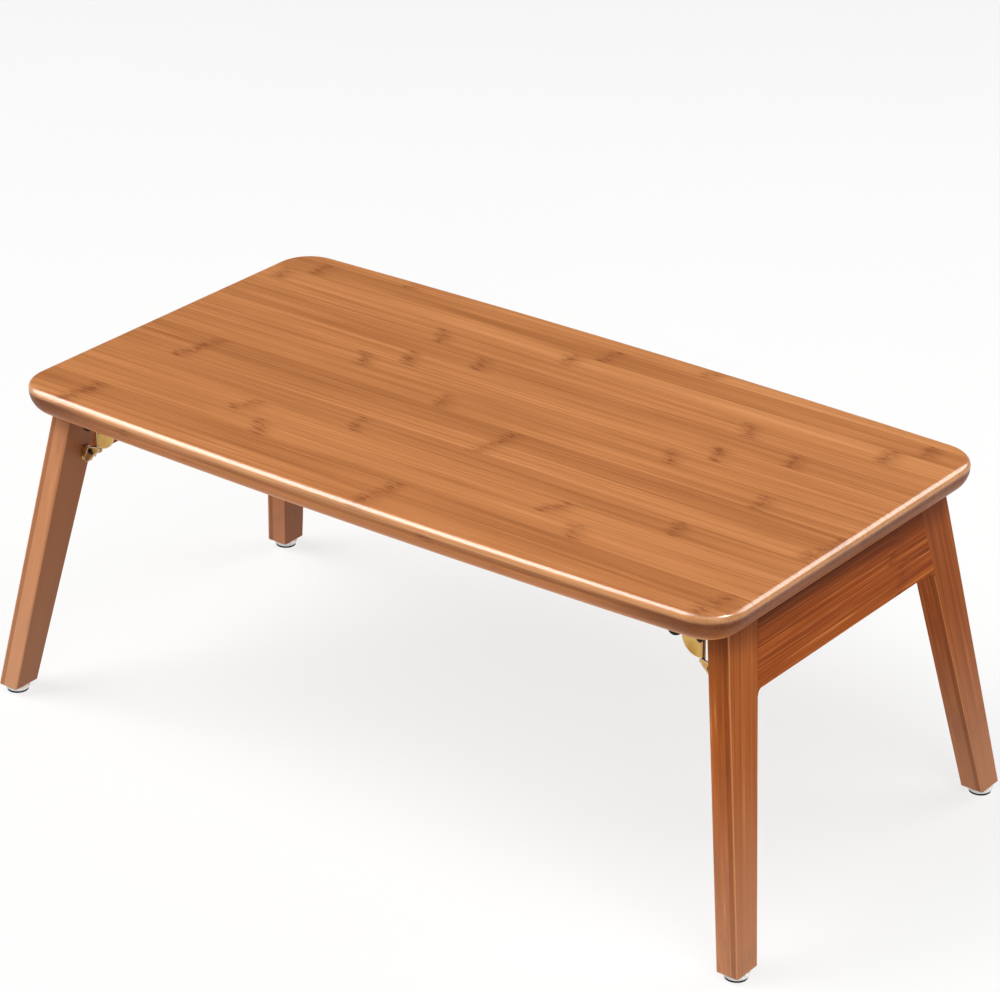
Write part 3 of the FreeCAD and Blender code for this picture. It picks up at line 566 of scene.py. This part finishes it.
def moulded(name, colour, shade, roughness, grit, shine=0.45):
    skin = Finish(name, Specular_IOR_Level=shine)
    mottle = skin.noise(skin.place(), scale=grit, detail=3)
    return skin.finished(
        Base_Color=skin.mix(mottle.rise(0.35, 0.7), colour, shade),
        Roughness=roughness + mottle * 0.15,
        Normal=skin.relief(mottle, 0.03 * MM),
    )


dark_steel = plain_steel("dark_steel", screen(24, 20, 17), screen(74, 66, 58), 0.3)
spring_steel = plain_steel("spring_steel", screen(120, 118, 114), screen(190, 188, 182), 0.22)
white_plastic = moulded("white_plastic", screen(240, 240, 238), screen(226, 227, 226), 0.3, 700)
black_rubber = moulded("black_rubber", screen(14, 13, 13), screen(26, 25, 24), 0.6, 1200, 0.1)
print("small finishes:", dark_steel.name, spring_steel.name, white_plastic.name, black_rubber.name)

# %% [markdown]
# Beech pegs hold each rail between its legs. They are hidden, but they have their finish too.

# %% Beech
peg = Finish("beech", Roughness=0.6)
peg_grain = peg.noise(peg.vector("MULTIPLY", peg.place(), (900, 60, 900)), detail=3)
beech = peg.finished(
    Base_Color=peg.mix(peg_grain.rise(0.3, 0.7), screen(206, 168, 126), screen(178, 134, 92)),
    Normal=peg.relief(peg_grain, 0.04 * MM),
)
print("peg finish:", beech.name)

# %% [markdown]
# A solid keeps its mesh and takes its finish by its material slot. The name of the node says what
# it is, so a short table of words picks the finish.

# %% Finishes for the solids
FINISH_BY_WORD = {
    "dowels": beech,
    "screws": dark_steel,
    "rivets": dark_steel,
    "spring": spring_steel,
    "soles": black_rubber,
    "buffers": black_rubber,
    "glides": white_plastic,
    "bracket": yellow_zinc,
    "pawl": yellow_zinc,
}


def finish_for(name):
    if name == "tabletop":
        return bamboo_top
    if name in frame_bamboo:
        return frame_bamboo[name]
    return next(finish for word, finish in FINISH_BY_WORD.items() if word in name)


for name, solid in nodes.items():
    for slot in solid.material_slots:
        slot.material = finish_for(name)
print("dressed", len(nodes), "solids")

# %% [markdown]
# The edge of a pressed plate shows a bright pale line, where it reflects the pale floor. The solids
# are cut square, so each plate that shows gets a copy whose broad faces carry that line as a narrow
# border in a pale zinc colour, a painted reflection. Insetting the faces keeps every point in the
# plane of the plate, so the copy never leaves its outline. It stands for its solid and moves with
# the same body.


# %% Plates with a pale rim
PLATE_DEPTH = 2 * MM
BRACKET_RIM = 0.5 * MM
PAWL_RIM = 0.8 * MM


def rimmed_plate(name, body, rim):
    """A copy of a pressed plate whose upright faces have a border of that width: a painted reflection in
    pale zinc.
    """
    solid = nodes[name]
    form = bmesh.new()
    form.from_mesh(solid.data)
    form.transform(solid.matrix_world)
    bmesh.ops.remove_doubles(form, verts=form.verts, dist=0.01 * MM)
    for face in form.faces:
        face.material_index = 0
        face.smooth = False
    outermost = max(abs(vert.co.y) for vert in form.verts)
    upright = [
        face
        for face in form.faces
        if abs(face.normal.y) > 0.999 and outermost - abs(face.verts[0].co.y) < PLATE_DEPTH
    ]
    border = bmesh.ops.inset_region(
        form, faces=upright, thickness=rim, use_boundary=True, use_even_offset=True
    )
    for face in border["faces"]:
        face.material_index = 1
    mesh = bpy.data.meshes.new(f"{name}_pressed")
    form.to_mesh(mesh)
    form.free()
    mesh.materials.append(yellow_zinc)
    mesh.materials.append(zinc_rim_reflection)
    plate = bpy.data.objects.new(mesh.name, mesh)
    bpy.context.scene.collection.objects.link(plate)
    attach(plate, body)
    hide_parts(name)
    return plate


plates = []
for end_name in ENDS:
    for side_name in SIDES:
        corner = f"{end_name}_{side_name}"
        plates.append(rimmed_plate(f"top_bracket_{corner}", "table_top", BRACKET_RIM))
        plates.append(rimmed_plate(f"lock_pawl_{corner}", f"{corner}_pawl", PAWL_RIM))
print(len(plates), "plates with a pale rim")

# %% [markdown]
# The picture was taken from the front right, well above the top, with a long lens. The camera's
# turn, height and lens were worked out from the corners of the top and the feet.

# %% Camera
AZIMUTH = math.radians(37.01)
ELEVATION = math.radians(25.5)
ROLL = math.radians(0.47)
DISTANCE = 3.308
LENS = 138.56
aim = Vector((-0.0955, 0.1405, 0.1431))
camera_back = Vector(
    (
        math.sin(AZIMUTH) * math.cos(ELEVATION),
        -math.cos(AZIMUTH) * math.cos(ELEVATION),
        math.sin(ELEVATION),
    )
)
level_right = Vector((math.cos(AZIMUTH), math.sin(AZIMUTH), 0))
camera_turn = Matrix((level_right, camera_back.cross(level_right), camera_back)).transposed()
camera_turn = camera_turn @ Matrix.Rotation(ROLL, 3, "Z")
camera = bpy.data.objects.new("camera", bpy.data.cameras.new("camera"))
camera.data.sensor_width = 36
camera.data.lens = LENS
camera.location = aim + camera_back * DISTANCE
camera.rotation_euler = camera_turn.to_euler()
bpy.context.scene.collection.objects.link(camera)
bpy.context.scene.camera = camera
print("camera at", [round(v, 3) for v in camera.location])

# %% [markdown]
# The floor is a plain pale sheet of paper, much larger than the picture. A part of its brightness is
# its own, which keeps it near white and the shadow on it soft, as a lit studio sweep does.

# %% Floor
FLOOR_SIZE = 60
floor_mesh = bpy.data.meshes.new("floor")
floor_form = bmesh.new()
bmesh.ops.create_grid(floor_form, x_segments=1, y_segments=1, size=FLOOR_SIZE / 2)
floor_form.to_mesh(floor_mesh)
floor_form.free()
floor = bpy.data.objects.new("floor", floor_mesh)
bpy.context.scene.collection.objects.link(floor)
paper = Finish("floor_paper", Specular_IOR_Level=0.0, Emission_Color=(1, 1, 1, 1), Emission_Strength=0.75)
paper_tone = paper.noise(paper.place(), scale=3)
floor_mesh.materials.append(
    paper.finished(
        Base_Color=paper.mix(paper_tone, screen(120, 120, 119), screen(124, 124, 123)),
        Roughness=0.85 + paper_tone * 0.1,
    )
)
print("floor", FLOOR_SIZE, "m wide")

# %% [markdown]
# Large soft boxes light the table. The key stands at the left front, one overhead fills the near
# corner, one behind lifts the far side and one at the right front the rail. Lacquer shows where a
# light is, so three more boxes are seen in reflections alone: one draws the long bright line on the
# near edge, one the line on the right edge, and a small one the gleam on the near corner.


# %% Soft boxes
LIT_POINT = Vector((0, 0, 0.2))
GLEAM_DISTANCE = 3.4


def soft_box(name, toward, distance, width, height, watts):
    """A rectangular light that faces the table from that direction; sizes are in metres."""
    light = bpy.data.lights.new(name, "AREA")
    light.shape = "RECTANGLE"
    light.size = width
    light.size_y = height
    light.energy = watts
    lamp = bpy.data.objects.new(name, light)
    direction = Vector(toward).normalized()
    lamp.location = LIT_POINT + direction * distance
    lamp.rotation_euler = direction.to_track_quat("Z", "Y").to_euler()
    bpy.context.scene.collection.objects.link(lamp)
    return lamp


soft_box("key_left", (-0.5, -0.33, 0.8), 4.4, 3.0, 3.6, 222)
soft_box("overhead", (0.5, -0.4, 0.9), 2.2, 1.8, 1.6, 22)
soft_box("back_right", (0.43, 0.72, 0.54), 3.0, 2.0, 1.4, 42)
soft_box("front_right", (0.85, -0.45, 0.35), 3.2, 1.6, 1.6, 19)
for name, toward, width, height, watts in (
    ("gleam_left", (-0.68, -0.4, 0.64), 2.4, 4.4, 350),
    ("gleam_right", (0.41, 0.72, 0.52), 2.4, 1.8, 80),
    ("gleam_corner", (0.54, 0.1, 0.83), 1.0, 1.0, 150),
):
    gleam = soft_box(name, toward, GLEAM_DISTANCE, width, height, watts)
    gleam.visible_diffuse = False
print([light.name for light in bpy.data.lights])

# %% [markdown]
# The room round the table is a plain grey that is a little brighter above than below. It fills the
# shadows, and its soft change of brightness is what the metal and the lacquer reflect elsewhere.

# %% Room light
world = bpy.data.worlds.new("studio")
world.use_nodes = True
world_nodes, world_links = world.node_tree.nodes, world.node_tree.links
sky_place = world_nodes.new("ShaderNodeTexCoord")
sky_parts = world_nodes.new("ShaderNodeSeparateXYZ")
sky_height = world_nodes.new("ShaderNodeMapRange")
sky_height.inputs["From Min"].default_value = -0.6
sky_height.inputs["From Max"].default_value = 0.6
sky_height.inputs["To Min"].default_value = 0.2
sky_height.inputs["To Max"].default_value = 0.38
world_links.new(sky_place.outputs["Generated"], sky_parts.inputs["Vector"])
world_links.new(sky_parts.outputs["Z"], sky_height.inputs["Value"])
world_links.new(sky_height.outputs["Result"], world_nodes["Background"].inputs["Strength"])
bpy.context.scene.world = world
bpy.context.scene.view_settings.view_transform = "Standard"
print("room light from 0.2 below to 0.38 above")

# %% [markdown]
